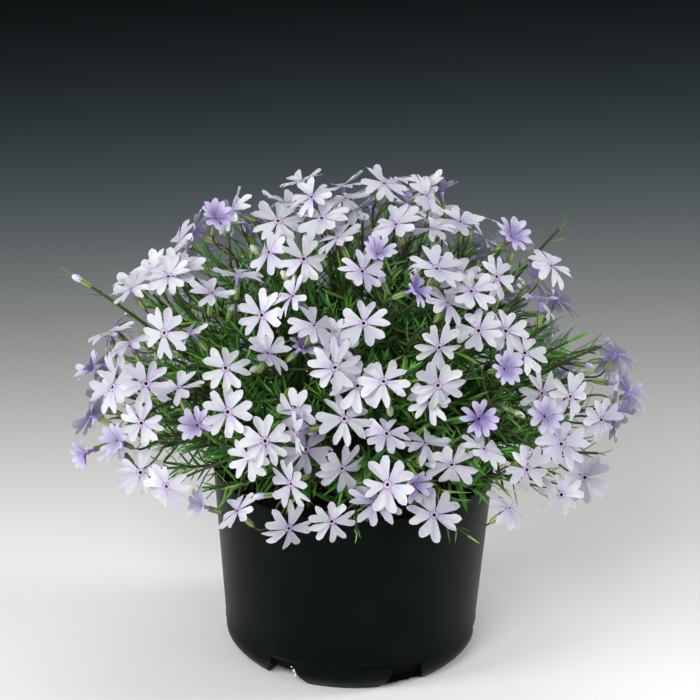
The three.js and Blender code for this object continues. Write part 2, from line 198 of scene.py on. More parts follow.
def turned(outline, sides):
    """The points and faces of an outline turned round the upright axis, closed where they meet."""
    points = []
    rings = []
    for radius, height in outline:
        if radius == 0:
            rings.append([len(points)] * sides)
            points.append((0, 0, height))
            continue
        rings.append([len(points) + i for i in range(sides)])
        turns = [2 * math.pi * i / sides for i in range(sides)]
        points += [(radius * math.cos(a), radius * math.sin(a), height) for a in turns]
    faces = []
    for low, high in zip(rings, rings[1:]):
        for i in range(sides):
            corners = [low[i], low[i - sides + 1], high[i - sides + 1], high[i]]
            faces.append(list(dict.fromkeys(corners)))
    return points, faces


def piece(name, mesh, slot, *nodes):
    """A finished piece of the plant or pot, riding on the one body; it may replace nodes."""
    made = bpy.data.objects.new(name, mesh)
    bpy.context.scene.collection.objects.link(made)
    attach(made, "root")
    if nodes:
        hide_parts(*nodes)


def inner_radius(height):
    """How far the inside of the wall is from the axis at a height above the ledge."""
    climb = (height - ledge_height) / (rim_height - ledge_height)
    return wall_foot_radius - wall + (rim_radius - wall_foot_radius) * climb


def between(start, end, bulge, steps):
    """Points of an outline from start to end that bulge outwards on the way."""
    line = [Vector(start).lerp(Vector(end), i / steps) for i in range(steps + 1)]
    return [(r + bulge * math.sin(math.pi * i / steps), z) for i, (r, z) in enumerate(line)]


pot_outline = [
    (0, floor_underside),
    (foot_inner_radius - 0.0025, floor_underside),
    (foot_inner_radius, 0.0002),
    (foot_inner_radius + 0.0004, 0),
    *between((foot_outer_radius, 0), (ledge_radius, ledge_height - 0.0006), foot_bulge, 10),
    (ledge_radius - 0.0003, ledge_height - 0.0001),
    (wall_foot_radius - 0.0001, ledge_height),
    (wall_foot_radius + 0.0002, ledge_height + 0.0003),
    (wall_foot_radius + 0.0002, ledge_height + 0.0007),
    *between((wall_foot_radius, ledge_height + 0.0013), (rim_radius, rim_height - 0.0008), 0, 6),
    (rim_radius - 0.0001, rim_height - 0.0003),
    (rim_radius - 0.0004, rim_height),
    (inner_radius(rim_height) + 0.0003, rim_height),
    (inner_radius(rim_height), rim_height - 0.0003),
    (inner_radius(ledge_height), ledge_height),
    (inner_radius(ledge_height) - 0.0034, floor_top),
    (0, floor_top),
]


def notch_turn(notch):
    """The turn about the upright axis that carries a thing at the front to a drain notch."""
    return Matrix.Rotation(first_notch_turn + notch * 2 * math.pi / notch_count, 4, "Z")


cutter_points = []
cutter_faces = []
cutter_corners = ((-1, cutter_low), (1, cutter_low), (1, notch_height), (-1, notch_height))
for notch in range(notch_count):
    first = len(cutter_points)
    for radius in cutter_radii:
        for side, height in cutter_corners:
            corner = Vector((side * notch_half_widths[height], -radius, height))
            cutter_points.append(notch_turn(notch) @ corner)
    for a, b in ((0, 1), (1, 2), (2, 3), (3, 0)):
        cutter_faces.append([first + a, first + b, first + 4 + b, first + 4 + a])
    cutter_faces.append([first + 3, first + 2, first + 1, first])
    cutter_faces.append([first + 4, first + 5, first + 6, first + 7])
pot_shell = smooth_mesh("pot_shell", *turned(pot_outline, pot_sides))
uncut = bpy.data.objects.new("uncut_pot", pot_shell)
cutter = bpy.data.objects.new("cutter", smooth_mesh("cutter", cutter_points, cutter_faces))
for made in (uncut, cutter):
    bpy.context.scene.collection.objects.link(made)
    shell = bmesh.new()
    shell.from_mesh(made.data)
    bmesh.ops.recalc_face_normals(shell, faces=shell.faces)
    shell.to_mesh(made.data)
    shell.free()
cut = uncut.modifiers.new("drain notches", "BOOLEAN")
cut.operation = "DIFFERENCE"
cut.solver = "EXACT"
cut.object = cutter
depsgraph = bpy.context.evaluated_depsgraph_get()
pot_mesh = bpy.data.meshes.new_from_object(uncut.evaluated_get(depsgraph))
pot_mesh.shade_smooth()
pot_mesh.set_sharp_from_angle(angle=math.radians(pot_crease))
for made in (uncut, cutter):
    bpy.data.objects.remove(made)

plastic = Finish("black_polypropylene")
grime = plastic.noise(38, 4).smooth(0.45, 0.75)
low_dust = plastic.parts(plastic.place)[2].smooth(0.014, 0.0)
mould_grain = plastic.noise(900, 2) + plastic.noise(60, 2) * 2.0
dusty = grime * 0.35 + low_dust * 0.5
plastic_colour = plastic.mix(dusty, (0.0008, 0.0017, 0.0015), (0.005, 0.006, 0.0056))
plastic_relief = (mould_grain, 0.12, 0.0002)
plastic_finish = (plastic_colour, 0.36 + dusty * 0.15, plastic_relief, 0.08, (0.6, 0.95, 0.85))
pot_mesh.materials.clear()
pot_mesh.materials.append(plastic.surface(*plastic_finish))
piece("pot_shell", pot_mesh, "black_plastic", "pot")

# ---- Potting mix ----
# Peat and composted bark that fills the pot to a finger below its rim. Its colour is painted
# darker low down, as painted shade where it shows in the drain notches. Loose crumbs, bark chips
# and white perlite lie on it. It has slumped into all of the drain notches but one, in which a few
# grains of perlite have lodged; the slumped compost is coloured near black, as painted shade for
# the notches.

soil_top = 0.077
crumb_length = 0.0024
crumbs_per_square_metre = 90000.0
perlite_tone = 0.93
slumped_radius = 0.0488
slumped_half_width = 0.0094
slumped_rows = (0.0016, 0.0031, 0.0046, 0.0061)
grains_per_row = 14
slumped_grain = (0.0034, 0.0026, 0.0028)
perlite_grain = (0.0022, 0.0019, 0.0024)
perlite_places = [
    (-0.026, -0.0452, 0.0074),
    (-0.0249, -0.0459, 0.0054),
    (-0.0242, -0.0463, 0.0034),
]


class Growth(Tree):
    """A geometry node tree with named sizes, run once on a starting mesh to give a plain mesh."""

    def __init__(self, name, sizes, material):
        self.material = material
        self.group = bpy.data.node_groups.new(name, "GeometryNodeTree")
        super().__init__(self.group)
        face = self.group.interface
        face.new_socket("Start", in_out="INPUT", socket_type="NodeSocketGeometry")
        self.sizes = sizes
        self.sockets = {}
        self.helpers = []
        for label, value in sizes.items():
            kind = "NodeSocketInt" if isinstance(value, int) else "NodeSocketFloat"
            made = face.new_socket(label, in_out="INPUT", socket_type=kind)
            self.sockets[label] = made.identifier
        face.new_socket("Grown", in_out="OUTPUT", socket_type="NodeSocketGeometry")
        self.start = self.node("NodeGroupInput")
        self.size = {label: self.start.output(label) for label in sizes}

    def random(self, low, high, salt):
        inputs = {2: low, 3: high, 8: self.size["Seed"] + salt}
        return self.node("FunctionNodeRandomValue", {"data_type": "FLOAT"}, inputs, 1)

    def stored(self, name, kind="FLOAT"):
        return self.node("GeometryNodeInputNamedAttribute", {"data_type": kind}, {"Name": name})

    def keep(self, geometry, name, value, kind="FLOAT", domain="POINT"):
        """The geometry with the value stored on it by name."""
        inputs = {"Geometry": geometry, "Name": name, "Value": value}
        settings = {"data_type": kind, "domain": domain}
        return self.node("GeometryNodeStoreNamedAttribute", settings, inputs)

    def turned_by(self, rotation, axis, angle):
        by = self.node("FunctionNodeAxisAngleToRotation", {}, {"Axis": axis, "Angle": angle})
        inputs = {"Rotation": rotation, "Rotate By": by}
        return self.node("FunctionNodeRotateRotation", {"rotation_space": "LOCAL"}, inputs)

    def patterns(self, meshes):
        """The given meshes as a list of instances, one of which is picked at each point."""
        kept = []
        for mesh in meshes:
            if not mesh.materials:
                mesh.materials.append(self.material)
            self.helpers.append(bpy.data.objects.new("pattern", mesh))
            inputs = {"Object": self.helpers[-1], "As Instance": True}
            kept.insert(0, self.node("GeometryNodeObjectInfo", {}, inputs, "Geometry"))
        return self.node("GeometryNodeJoinGeometry", {}, {0: kept})

    def copies(self, points, meshes, rotation, scale, salt):
        """A copy of one of the meshes at each point, with a tone of its own."""
        pick = {4: 0, 5: len(meshes) - 1, 8: self.size["Seed"] + salt}
        inputs = {
            "Points": points,
            "Instance": self.patterns(meshes),
            "Pick Instance": True,
            "Instance Index": self.node("FunctionNodeRandomValue", {"data_type": "INT"}, pick, 2),
            "Rotation": rotation,
            "Scale": scale,
        }
        made = self.node("GeometryNodeInstanceOnPoints", {}, inputs)
        return self.keep(made, "tone", self.random(0.0, 1.0, salt + 50), domain="INSTANCE")

    def grow(self, geometry, start):
        """The plain mesh that the tree makes of the starting mesh."""
        real = self.node("GeometryNodeRealizeInstances", {}, {"Geometry": geometry})
        inputs = {"Geometry": real, "Material": self.material}
        done = self.node("GeometryNodeSetMaterial", {}, inputs)
        self.node("NodeGroupOutput", {}, {"Grown": done})
        host = bpy.data.objects.new("host", start)
        bpy.context.scene.collection.objects.link(host)
        modifier = host.modifiers.new("growth", "NODES")
        modifier.node_group = self.group
        for label, value in self.sizes.items():
            modifier[self.sockets[label]] = value
        depsgraph = bpy.context.evaluated_depsgraph_get()
        mesh = bpy.data.meshes.new_from_object(host.evaluated_get(depsgraph))
        for made in [host] + self.helpers:
            bpy.data.objects.remove(made)
        return mesh


peat = Finish("peat_and_bark")
clods = peat.noise(420, 5)
fibre = peat.noise(90, 3)
peat_colour = peat.mix(clods.smooth(0.35, 0.7), (0.006, 0.0035, 0.002), (0.045, 0.024, 0.013))
peat_colour = peat.mix(fibre.smooth(0.5, 0.75) * 0.6, peat_colour, (0.03, 0.012, 0.005))
# Painted shade: the peat turns near black below about 4 cm, where it shows only in the drain
# notches.
low_painted_shade = peat.parts(peat.place)[2].smooth(0.04, 0.014)
peat_colour = peat.mix(low_painted_shade, peat_colour, (0.0025, 0.002, 0.0014))
soil_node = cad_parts["soil"]
soil_node.data.materials.clear()
peat_material = peat.surface(peat_colour, 0.95, (clods + fibre, 1.0, 0.0015), 0.1)
soil_node.data.materials.append(peat_material)

crumb_finish = Finish("loose_crumbs")
tone = crumb_finish.attribute("tone")
crumb_colour = crumb_finish.mix(tone.smooth(0.2, 0.8), (0.012, 0.006, 0.003), (0.09, 0.045, 0.022))
crumb_colour = crumb_finish.mix(tone > perlite_tone, crumb_colour, (0.72, 0.7, 0.66))
crumb_dirt = crumb_finish.noise(800) * 0.5
crumb_colour = crumb_finish.mix(crumb_dirt, crumb_colour, (0.01, 0.007, 0.005))
crumb_relief = (crumb_finish.noise(1500), 0.6, 0.0004)
crumb_material = crumb_finish.surface(crumb_colour, 0.9, crumb_relief)


def mesh_of(name, shape):
    """The shape that a bmesh holds, as a mesh; the bmesh is freed."""
    mesh = bpy.data.meshes.new(name)
    shape.to_mesh(mesh)
    shape.free()
    return mesh


def crumb(seed, reach):
    """An angular grain of the given reach, from a small ball with its corners pushed about."""
    draw = np.random.default_rng(seed)
    ball = bmesh.new()
    bmesh.ops.create_icosphere(ball, subdivisions=1, radius=0.5)
    points = [np.array(v.co) * draw.uniform(0.65, 1.0) * np.array(reach) for v in ball.verts]
    faces = [[v.index for v in face.verts] for face in ball.faces]
    ball.free()
    return smooth_mesh("crumb", points, faces, 20)


face_height = soil_top + 0.0006
soil_outline = [(inner_radius(soil_top) - 0.002, face_height), (0, face_height)]
soil_face = smooth_mesh("soil_face", *turned(soil_outline, 48))
litter_sizes = {"Crumb length": crumb_length, "Density": crumbs_per_square_metre, "Seed": 5}
litter = Growth("potting crumbs", litter_sizes, crumb_material)
litter_seed = litter.size["Seed"]
inputs = {"Mesh": litter.start, "Density": litter.size["Density"], "Seed": litter_seed}
spots = litter.node("GeometryNodeDistributePointsOnFaces", {}, inputs)
inputs = {0: (-0.6, -0.6, 0.0), 1: (0.6, 0.6, 6.28), 8: litter_seed}
spin = litter.node("FunctionNodeRandomValue", {"data_type": "FLOAT_VECTOR"}, inputs)
spin = litter.node("FunctionNodeEulerToRotation", {}, {0: spin})
size = litter.size["Crumb length"] * (litter.random(0.55, 1.25, 3) ** 2.0)
grains = [crumb(1, (1, 0.8, 0.6)), crumb(2, (1.6, 0.7, 0.35)), crumb(3, (0.9, 0.9, 0.8))]
crumbs = litter.grow(litter.copies(spots, grains, spin, size, 7), soil_face)
piece("potting_crumbs", crumbs, "potting_mix")

# Compost that slumped into the notches, coloured near black as painted shade for each notch's dark
# hollow.
compost = Finish("compost_painted_shade")
compost_grit = compost.noise(1200, 3)
compost_colour = compost.mix(compost_grit, (0.0022, 0.0018, 0.0012), (0.006, 0.0045, 0.003))
compost_material = compost.surface(compost_colour, 0.9, (compost_grit, 0.6, 0.0004), 0.05)
slumped = bmesh.new()
draw = np.random.default_rng(21)
for notch in range(1, notch_count):
    for row, height in enumerate(slumped_rows):
        half_width = slumped_half_width * (1 - 0.07 * row)
        for place in np.linspace(-half_width, half_width, grains_per_row):
            grain = crumb(int(draw.integers(1000)), slumped_grain)
            spot = Vector((place, -slumped_radius - draw.uniform(0, 0.0012), height))
            grain.transform(notch_turn(notch) @ Matrix.Translation(spot))
            slumped.from_mesh(grain)
slumped_mesh = mesh_of("notch_compost", slumped)
slumped_mesh.shade_smooth()
slumped_mesh.materials.append(compost_material)
piece("notch_compost", slumped_mesh, "potting_mix")

perlite_finish = Finish("perlite")
pits = perlite_finish.noise(1400)
perlite_colour = perlite_finish.mix(pits, (0.75, 0.74, 0.7), (0.4, 0.38, 0.34))
lodged = bmesh.new()
for i, place in enumerate(perlite_places):
    grain = crumb(11 + i, perlite_grain)
    grain.transform(Matrix.Translation(place))
    lodged.from_mesh(grain)
perlite = mesh_of("perlite", lodged)
perlite.materials.append(perlite_finish.surface(perlite_colour, 0.9, (pits, 0.7, 0.0003)))
piece("notch_perlite", perlite, "potting_mix")

# ---- Leafy stems ----
# Wiry stems that spread from one crown in the middle of the pot and turn up under the blooms,
# with stiff needle leaves in tufts at every joint. Eight shoots reach out past the blooms.

heart = Vector((0, 0, 0.1))
crown_height = 0.079
crown_width_share = 0.1
mound_centre = Vector((0.0008, -0.0022, 0.092))
mound_reach = Vector((0.12, 0.086, 0.126))
front_lift = 0.008
side_lifts = {True: 0.02, False: 0.011}
left_shoulder = 0.026
lobe_height = 0.035
sunny_turn = 0.34
leafy_stem_count = 250
lowest_stem = -0.06
tip_reach = (0.72, 0.94)
stem_arch = Vector((0, 0, 0.014))
stem_thickness = (0.0009, 0.0005)
spray_stem_thickness = (0.0011, 0.0008)
shoot_thickness = (0.0011, 0.0006)
leaf_length = 0.015
joint_spacing = 0.0048
leaves_per_joint = 3
leaf_lean = 0.95
joint_turn = 2.4
bare_below = 0.12
shoot_leaf_length = 0.011
shoot_spacing = 0.0085
leaves_per_shoot_joint = 2
shoot_leaf_lean = 0.8
golden_angle = math.pi * (3 - math.sqrt(5))
sprays = sorted(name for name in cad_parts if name.startswith("flower_spray"))
shoots = sorted(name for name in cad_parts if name.startswith("leafy_shoot"))
draw = np.random.default_rng(7)


def joined(node):
    """A node's points and its triangles, once the points that share a place are merged."""
    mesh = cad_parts[node].data
    places = np.array([v.co[:] for v in mesh.vertices])
    corners = np.array([face.vertices[:] for face in mesh.polygons])
    points, index = np.unique(np.round(places, 7), axis=0, return_inverse=True)
    return points, index.reshape(-1)[corners]


def foot_of(node):
    """The middle of the flat three-cornered foot that a spray or shoot stands on."""
    points, _ = joined(node)
    near = np.argsort(np.linalg.norm(points - np.array(heart), axis=1))[:3]
    return Vector(points[near].mean(axis=0))


def shoot_tip(node):
    """The pointed end of a leafy shoot: the far point that lies nearest to its axis."""
    points, _ = joined(node)
    axis = (foot_of(node) - heart).normalized()
    along = (points - np.array(heart)) @ np.array(axis)
    off = np.linalg.norm(points - np.array(heart) - along[:, None] * np.array(axis), axis=1)
    far = along > along.max() * 0.85
    return Vector(points[far][np.argmin(off[far])])


def mound(direction):
    """A point of the face that the blooms make, with its lifted skirt and its left shoulder."""
    around = math.atan2(direction.y, direction.x)
    lobes = 1 + lobe_height * math.sin(5 * around + 3 * direction.z)
    point = Vector(a * b * lobes for a, b in zip(direction, mound_reach)) + mound_centre
    rise = max(direction.z, 0)
    lift = front_lift * direction.y**2 + side_lifts[direction.x > 0] * direction.x**2
    point.z += lift * (1 - rise) ** 2
    point.x -= left_shoulder * max(-direction.x, 0) * rise**2
    return point


def bent_line(start, handle, end, steps):
    """Points along a stem that leaves start towards the handle and comes in to end from it."""
    parts = [i / steps for i in range(steps + 1)]
    return [(1 - t) ** 2 * start + 2 * t * (1 - t) * handle + t * t * end for t in parts]


class Lines:
    """Stems as plain lines that know, at every point, how thick and how leafy they are."""

    def __init__(self):
        self.points = []
        self.edges = []
        self.fields = {"thickness": [], "leafiness": [], "along": []}

    def add(self, line, thick, thin, leafiness=lambda t: 0.0):
        first = len(self.points)
        for i, point in enumerate(line):
            t = i / (len(line) - 1)
            self.points.append(point)
            self.fields["thickness"].append(thick + (thin - thick) * t)
            self.fields["leafiness"].append(leafiness(t))
            self.fields["along"].append(t)
            if i:
                self.edges.append((first + i - 1, first + i))

    def mesh(self):
        mesh = bpy.data.meshes.new("lines")
        mesh.from_pydata([tuple(point) for point in self.points], self.edges, [])
        for name, values in self.fields.items():
            mesh.attributes.new(name, "FLOAT", "POINT").data.foreach_set("value", values)
        return mesh


def crown_below(tip):
    """Where the stem that ends at the tip leaves the plant's crown."""
    return Vector((crown_width_share * tip.x, crown_width_share * tip.y, crown_height))


def rising(start, full):
    """Leafiness that grows from none at the start to full."""
    return lambda t: min(1, max(0, (t - start) / (full - start)))


cushion_stems = Lines()
for i in range(leafy_stem_count):
    height = 1 - (1 - lowest_stem) * (i + 0.5) / leafy_stem_count
    level = math.sqrt(1 - height * height)
    turn = i * golden_angle - sunny_turn * level * math.cos(i * golden_angle)
    direction = Vector((level * math.cos(turn), level * math.sin(turn), height))
    direction = (direction + Vector(draw.uniform(-0.06, 0.06, 3))).normalized()
    tip = heart + (mound(direction) - heart) * draw.uniform(*tip_reach)
    crown = crown_below(tip)
    handle = crown + (tip - crown) * 0.45 + Vector(draw.uniform(-0.008, 0.008, 3)) + stem_arch
    cushion_stems.add(bent_line(crown, handle, tip, 12), *stem_thickness, rising(0.4, 0.6))
spray_stems = Lines()
for node in sprays:
    foot = foot_of(node)
    handle = foot - (foot - heart).normalized() * 0.03
    path = bent_line(crown_below(foot), handle, foot, 12)
    spray_stems.add(path, *spray_stem_thickness, rising(0.45, 0.8))
shoot_stems = Lines()
for node in shoots:
    tip = shoot_tip(node)
    path = bent_line(crown_below(tip), foot_of(node), tip, 20)
    shoot_stems.add(path, *shoot_thickness, rising(0.45, 0.6))


def mapped(mesh, name, places):
    """Lays a UV map on the mesh, from one place for each of its points."""
    layer = mesh.uv_layers.new(name=name)
    for loop in mesh.loops:
        layer.data[loop.index].uv = places[loop.vertex_index]
    return mesh


def needle(bend, width, twist):
    """A needle leaf one unit long along +Z: grooved above, keeled below, tapered to a point."""
    points = []
    places = []
    for along, share in ((0, 0.65), (0.35, 1.0), (0.75, 0.7)):
        half = width * share / 2
        turn = twist * along
        for across, lift in ((-half, 0), (0, -0.12 * width), (half, 0), (0, 0.45 * half)):
            x = lift * math.cos(turn) - across * math.sin(turn) - bend * along * along
            y = lift * math.sin(turn) + across * math.cos(turn)
            points.append((x, y, along))
            places.append((0.5 + 0.5 * across / half, along))
    points.append((-bend, 0, 1))
    places.append((0.5, 1))
    faces = [[3, 2, 1, 0]]
    for i in range(4):
        j = (i + 1) % 4
        faces += [[i, j, j + 4, i + 4], [i + 4, j + 4, j + 8, i + 8], [i + 8, j + 8, 12]]
    return mapped(smooth_mesh("needle", points, faces, 80), "leaf_map", places)


leaf = Finish("needle_leaf")
across, along = leaf.uv("leaf_map")
tone = leaf.attribute("tone")
green = leaf.mix(tone, (0.009, 0.09, 0.007), (0.17, 0.52, 0.07))
green = leaf.mix((tone > 0.9) * 0.8, green, (0.32, 0.5, 0.1))
green = leaf.mix(along.smooth(0.4, 0.0) * 0.2, green, (0.2, 0.38, 0.1))
edge = abs(across - 0.5).smooth(0.34, 0.5)
green = leaf.mix(edge * 0.5, green, (0.32, 0.52, 0.2))
green = leaf.mix(along.smooth(0.93, 1.0) * 0.6, green, (0.16, 0.14, 0.04))
green = leaf.mix(leaf.noise(240, 2).smooth(0.4, 0.8) * 0.3, green, (0.05, 0.17, 0.02))
# Painted shade: leaves deep inside the cushion are mixed towards near-black green.
terms = zip(leaf.parts(leaf.place), heart, mound_reach)
outness = sum(((part - middle) / reach) ** 2 for part, middle, reach in terms) ** 0.5
green = leaf.mix(outness.smooth(0.85, 0.5) * 0.7, green, (0.003, 0.05, 0.003))
leaf_roughness = 0.4 + leaf.noise(500) * 0.12
leaf_material = leaf.surface(green, leaf_roughness, (edge, 0.35, 0.0003), 0.28, thin=0.18)

bark = Finish("wiry_stem")
bark_tone = bark.noise(70, 3).smooth(0.35, 0.7)
bark_colour = bark.mix(bark_tone, (0.045, 0.025, 0.01), (0.05, 0.075, 0.018))
bark_material = bark.surface(bark_colour, 0.6, (bark.noise(900), 0.4, 0.0003))


def stem_mesh(name, lines):
    """Round stems along the lines, as thick as the lines say."""
    growth = Growth(name, {"Sides": 6}, bark_material)
    curve = growth.node("GeometryNodeMeshToCurve", {}, {0: growth.start})
    inputs = {"Resolution": growth.size["Sides"], "Radius": 1.0}
    circle = growth.node("GeometryNodeCurvePrimitiveCircle", {}, inputs)
    inputs = {"Curve": curve, "Profile Curve": circle, "Fill Caps": True}
    inputs["Scale"] = growth.stored("thickness")
    return growth.grow(growth.node("GeometryNodeCurveToMesh", {}, inputs), lines.mesh())


def leaf_mesh(name, lines, spacing, number, lean, seed, length=leaf_length):
    """Tufts of needles at every joint of the lines, which close to a point at the stem's tip."""
    sizes = {"Leaf length": length, "Joint spacing": spacing, "Leaves per joint": number}
    sizes |= {"Lean": lean, "Seed": seed}
    growth = Growth(name, sizes, leaf_material)
    curve = growth.node("GeometryNodeMeshToCurve", {}, {0: growth.start})
    inputs = {"Curve": curve, "Length": growth.size["Joint spacing"]}
    joints = growth.node("GeometryNodeCurveToPoints", {"mode": "LENGTH"}, inputs)
    joints = growth.keep(joints, "stance", joints.output("Rotation"), "QUATERNION")
    joints = growth.keep(joints, "joint", growth.node("GeometryNodeInputIndex"))
    leafy = growth.stored("leafiness") > bare_below
    bare = growth.node("FunctionNodeBooleanMath", {"operation": "NOT"}, {0: leafy})
    inputs = {"Geometry": joints, "Selection": bare}
    joints = growth.node("GeometryNodeDeleteGeometry", {"domain": "POINT"}, inputs)
    inputs = {"Geometry": joints, "Amount": growth.size["Leaves per joint"]}
    leaves = growth.node("GeometryNodeDuplicateElements", {"domain": "POINT"}, inputs)
    share = 2 * math.pi / growth.size["Leaves per joint"]
    around = leaves.output("Duplicate Index") * share + growth.stored("joint") * joint_turn
    around = around + growth.random(-0.5, 0.5, 11)
    closing = growth.stored("along") ** 8.0
    opening = growth.size["Lean"] * (1 - 0.6 * closing) + growth.random(-0.45, 0.45, 12)
    rotation = growth.turned_by(growth.stored("stance", "QUATERNION"), (0, 0, 1), around)
    rotation = growth.turned_by(rotation, (0, 1, 0), opening)
    rotation = growth.turned_by(rotation, (0, 0, 1), growth.random(-0.5, 0.5, 13))
    length = growth.size["Leaf length"] * growth.stored("leafiness") * (1 - 0.35 * closing)
    length = length * growth.random(0.7, 1.15, 14)
    needles = [needle(0.18, 0.1, 0.3), needle(0.04, 0.12, -0.5), needle(-0.2, 0.11, 0.7)]
    return growth.grow(growth.copies(leaves, needles, rotation, length, 20), lines.mesh())


piece("cushion_stems", stem_mesh("cushion stems", cushion_stems), "leaves", "foliage")
piece("spray_stems", stem_mesh("spray stems", spray_stems), "leaves")
piece("shoot_stems", stem_mesh("shoot stems", shoot_stems), "leaves", *shoots)
tufts = (joint_spacing, leaves_per_joint, leaf_lean)
piece("cushion_leaves", leaf_mesh("cushion leaves", cushion_stems, *tufts, 3), "leaves")
piece("spray_leaves", leaf_mesh("spray leaves", spray_stems, *tufts, 4), "leaves")
tufts = (shoot_spacing, leaves_per_shoot_joint, shoot_leaf_lean, 6, shoot_leaf_length)
piece("shoot_leaves", leaf_mesh("shoot leaves", shoot_stems, *tufts), "leaves")

# ---- Flower stalks ----
# Thin stalks that fork from the tip of a leafy stem, one to each bloom or bud, with a few small
# leaves at the forks. Each ends in a ribbed green calyx with five points round the flower tube.

tube_length = 0.0115
bud_length = 0.0098
stalk_from_heart = 0.66
fork_from_heart = 0.8
triangles_at_eye = 20
gap_depth = 0.06
gap_reach = 0.257
bud_facet = 0.0039
stalk_thickness = (0.0008, 0.0006)
bloom_stalk_thickness = (0.00052, 0.0005)
bud_stalk_thickness = (0.00048, 0.00045)
fork_leafiness = 0.62
stalk_leaf_spacing = 0.0065
leaves_per_stalk_joint = 2
stalk_leaf_lean = 0.8
half_open_lift = 0.3
calyx_ribs = 10
calyx_foot = -0.0118
calyx_rim = (-0.0068, -0.007)
calyx_height = 0.0076
calyx_point = 0.0026


def alike(points, centre, count):
    """The sets of arms from the centre to a few points equally far from it, nearest first."""
    arms = points - centre
    reach = np.linalg.norm(arms, axis=1)
    order = np.argsort(reach)
    spread = reach[order[count - 1 :]] - reach[order[: len(order) - count + 1]]
    groups = [i for i in np.nonzero(spread < 1e-6)[0] if reach[order[i]] > 0.001]
    return [arms[order[i : i + count]] for i in groups]


def blooms_of(node):
    """Each bloom of a spray: where its eye is, how it faces, how wide it is, how it is cupped."""
    points, faces = joined(node)
    met = np.bincount(faces.ravel(), minlength=len(points))
    blooms = []
    for eye in points[met >= triangles_at_eye]:
        for gaps in alike(points, eye, 5):
            facing = -gaps.mean(axis=0)
            reach = np.linalg.norm(facing) / gap_depth
            if abs(np.linalg.norm(gaps[0]) - gap_reach * reach) < 0.0001:
                break
        else:
            continue
        lobes = alike(points, eye, 9)[0]
        facing /= np.linalg.norm(facing)
        across = gaps[0] @ facing * facing - gaps[0]
        bloom = {"eye": Vector(eye), "facing": Vector(facing), "reach": float(reach)}
        bloom["across"] = Vector(across).normalized()
        bloom["lift"] = math.atan((lobes @ facing).mean() / reach)
        blooms.append(bloom)
    return blooms


def buds_of(node):
    """Each bud of a spray, as its tip and its direction: a point where three facets meet."""
    points, faces = joined(node)
    met = np.bincount(faces.ravel(), minlength=len(points))
    buds = []
    for tip in points[met == 3]:
        rings = alike(points, tip, 3)
        facets = [ring for ring in rings if abs(ring[0] @ ring[0] - bud_facet**2) < 3e-8]
        if facets:
            facing = Vector(-facets[0].mean(axis=0)).normalized()
            buds.append({"tip": Vector(tip), "facing": facing})
    return buds


stalks = Lines()
blooms = []
buds = []
for node in sprays:
    foot = foot_of(node)
    axis = (foot - heart).normalized()
    fork = heart + axis * (foot - heart).length * fork_from_heart / stalk_from_heart
    heads = blooms_of(node)
    middle = sum((bloom["eye"] for bloom in heads), Vector()) / len(heads)
    heads.sort(key=lambda bloom: (bloom["eye"] - middle).length)
    main = bent_line(foot - axis * 0.002, (foot + fork) / 2, fork, 6)
    stalks.add(main, *stalk_thickness, lambda t: fork_leafiness)
    for i, bloom in enumerate(heads):
        base = bloom["eye"] - bloom["facing"] * tube_length
        root = fork.lerp(foot, 0.8 * i / len(heads))
        handle = base - bloom["facing"] * min(0.012, (base - root).length * 0.5)
        stalks.add(bent_line(root, handle, base, 8), *bloom_stalk_thickness)
    for bud in buds_of(node):
        base = bud["tip"] - bud["facing"] * bud_length
        handle = base - bud["facing"] * 0.006
        stalks.add(bent_line(fork, handle, base, 6), *bud_stalk_thickness)
        buds.append(bud)
    blooms += heads
left_tip = shoot_tip(shoots[0])
buds.append({"tip": left_tip, "facing": (left_tip - foot_of(shoots[0])).normalized()})
for bloom in blooms:
    half_open = bloom["lift"] > half_open_lift
    bloom["lilac"] = draw.uniform(0.5, 0.95) if half_open else max(0.0, draw.normal(0.04, 0.09))


def sites(heads, fields):
    """One point for each head, with the fields that its copies read."""
    mesh = bpy.data.meshes.new("sites")
    mesh.from_pydata([tuple(head["eye"]) for head in heads], [], [])
    for name in fields:
        kind = "FLOAT_VECTOR" if isinstance(heads[0][name], Vector) else "FLOAT"
        values = np.array([head[name] for head in heads], dtype=np.float32).ravel()
        layer = mesh.attributes.new(name, kind, "POINT")
        layer.data.foreach_set("vector" if kind == "FLOAT_VECTOR" else "value", values)
    return mesh


def stance_of(growth):
    """The rotation that turns +Z to face as the head does and +X across it."""
    axes = {"Primary Axis": growth.stored("facing", "FLOAT_VECTOR")}
    axes["Secondary Axis"] = growth.stored("across", "FLOAT_VECTOR")
    settings = {"primary_axis": "Z", "secondary_axis": "X"}
    return growth.node("FunctionNodeAxesToRotation", settings, axes)


def facing_copies(name, heads, mesh, material):
    """A copy of the mesh at each head, with its +Z facing as the head does."""
    growth = Growth(name, {"Scale": 1.0, "Seed": 9}, material)
    points = growth.node("GeometryNodeMeshToPoints", {}, {"Mesh": growth.start})
    copies = growth.copies(points, [mesh], stance_of(growth), growth.size["Scale"], 4)
    return growth.grow(copies, sites(heads, ("facing", "across", "lilac")))


calyx_outline = [(0, calyx_foot), (0.0007, -0.0116), (0.0012, -0.0102), (0.0013, -0.0082)]
calyx_outline += [(0.00125, calyx_rim[0]), (0.0009, calyx_rim[1]), (0.0008, -0.0085), (0, -0.0088)]
points, faces = turned(calyx_outline, calyx_ribs)
for i, (x, y, z) in enumerate(points):
    if z in calyx_rim and (i - 1) % 2 == 0:
        points[i] = (x * 1.1, y * 1.1, z + calyx_point)
turns = [math.atan2(y, x) / (2 * math.pi) % 1 for x, y, z in points]
places = [(turn, (z - calyx_foot) / calyx_height) for turn, (x, y, z) in zip(turns, points)]
calyx_mesh = mapped(smooth_mesh("calyx", points, faces, 60), "calyx_map", places)

